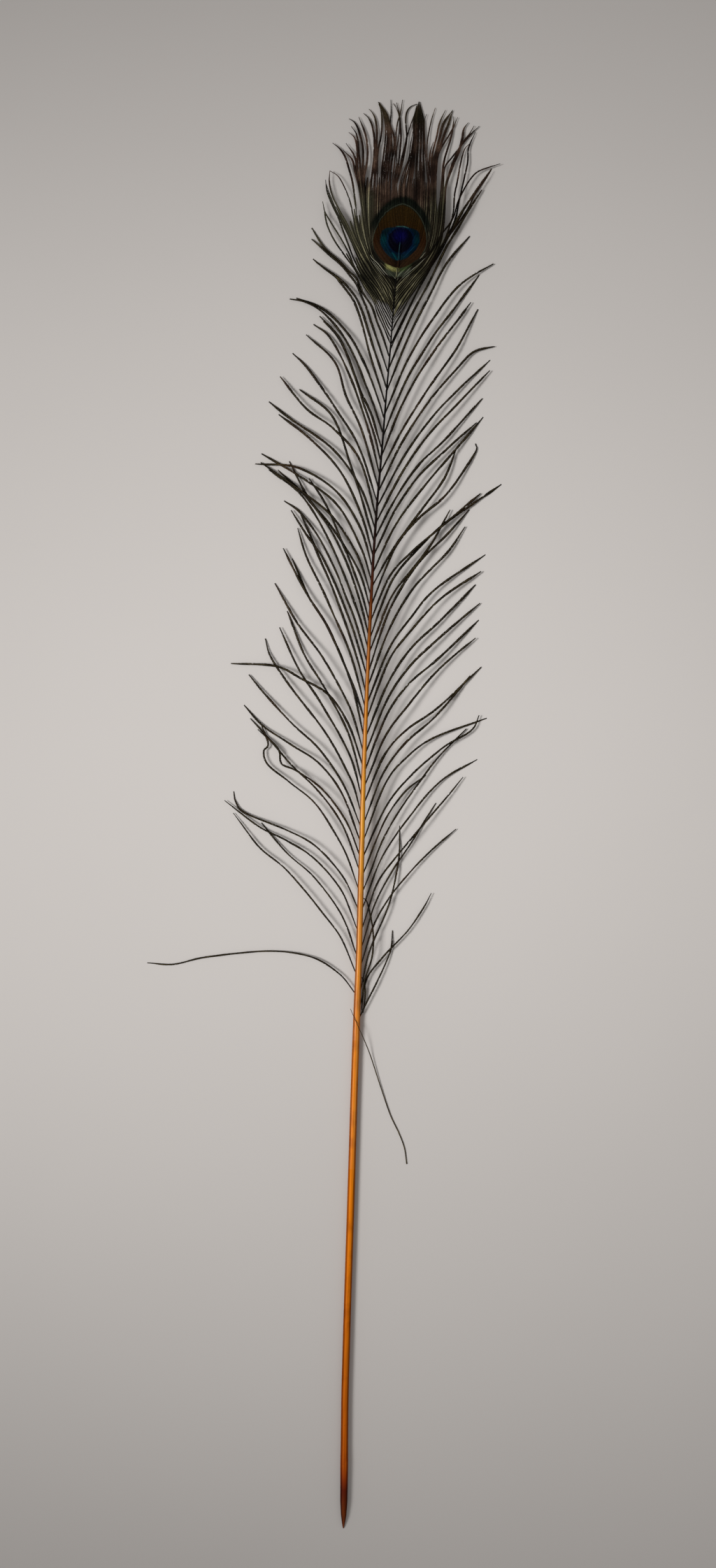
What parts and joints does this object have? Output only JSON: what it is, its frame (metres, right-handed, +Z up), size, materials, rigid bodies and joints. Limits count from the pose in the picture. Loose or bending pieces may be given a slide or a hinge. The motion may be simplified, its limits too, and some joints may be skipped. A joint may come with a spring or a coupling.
{
  "type": "peacock feather",
  "caption": "Long train feather with a dyed bare shaft, loose barbs along both sides, and a close vane with an eye and a fringe at its end.",
  "frame": {"origin": "under the bare shaft, in the flat facet that rests on the surface, 200 mm from the quill's tip", "axes": "+Y along the feather from the quill towards the eye, +Z up out of the eye's face, +X to the right when the eye is seen from above with its fringe away from the viewer"},
  "size_m": [0.233, 1.0007, 0.0113],
  "materials": {
    "feather": "dark bronze-olive herl on an orange-dyed keratin shaft, satin",
    "stray_barb": "dark brown keratin thread, satin"
  },
  "bodies": {
    "root": {"feather": "feather", "stray_barb": "stray_barb"}
  },
  "joints": []
}
